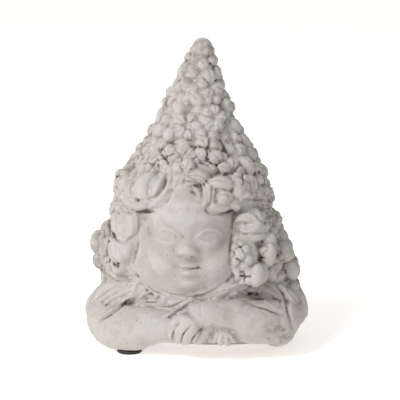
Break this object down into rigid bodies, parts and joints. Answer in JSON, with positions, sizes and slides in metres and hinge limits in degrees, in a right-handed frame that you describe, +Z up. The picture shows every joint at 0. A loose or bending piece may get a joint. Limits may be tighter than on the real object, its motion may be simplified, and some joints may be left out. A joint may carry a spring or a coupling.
{
  "type": "fairy garden statue",
  "caption": "Cast cement garden statue of a curly-haired child resting its chin on crossed arms, in a leaf collar and a tall pointed cap of blossoms, on round rubber pads.",
  "frame": {"origin": "on the floor, under the middle of the statue's outline", "axes": "+Z up to the tip of the cap, -Y the way the child faces, +X to the child's left"},
  "size_m": [0.1652, 0.1399, 0.2218],
  "materials": {
    "cast_cement": "matt, weathered",
    "pad_rubber": "matt"
  },
  "bodies": {
    "root": {"statue": "cast_cement", "pad_front_right": "pad_rubber", "pad_front_left": "pad_rubber", "pad_back_right": "pad_rubber", "pad_back_left": "pad_rubber"}
  },
  "joints": []
}
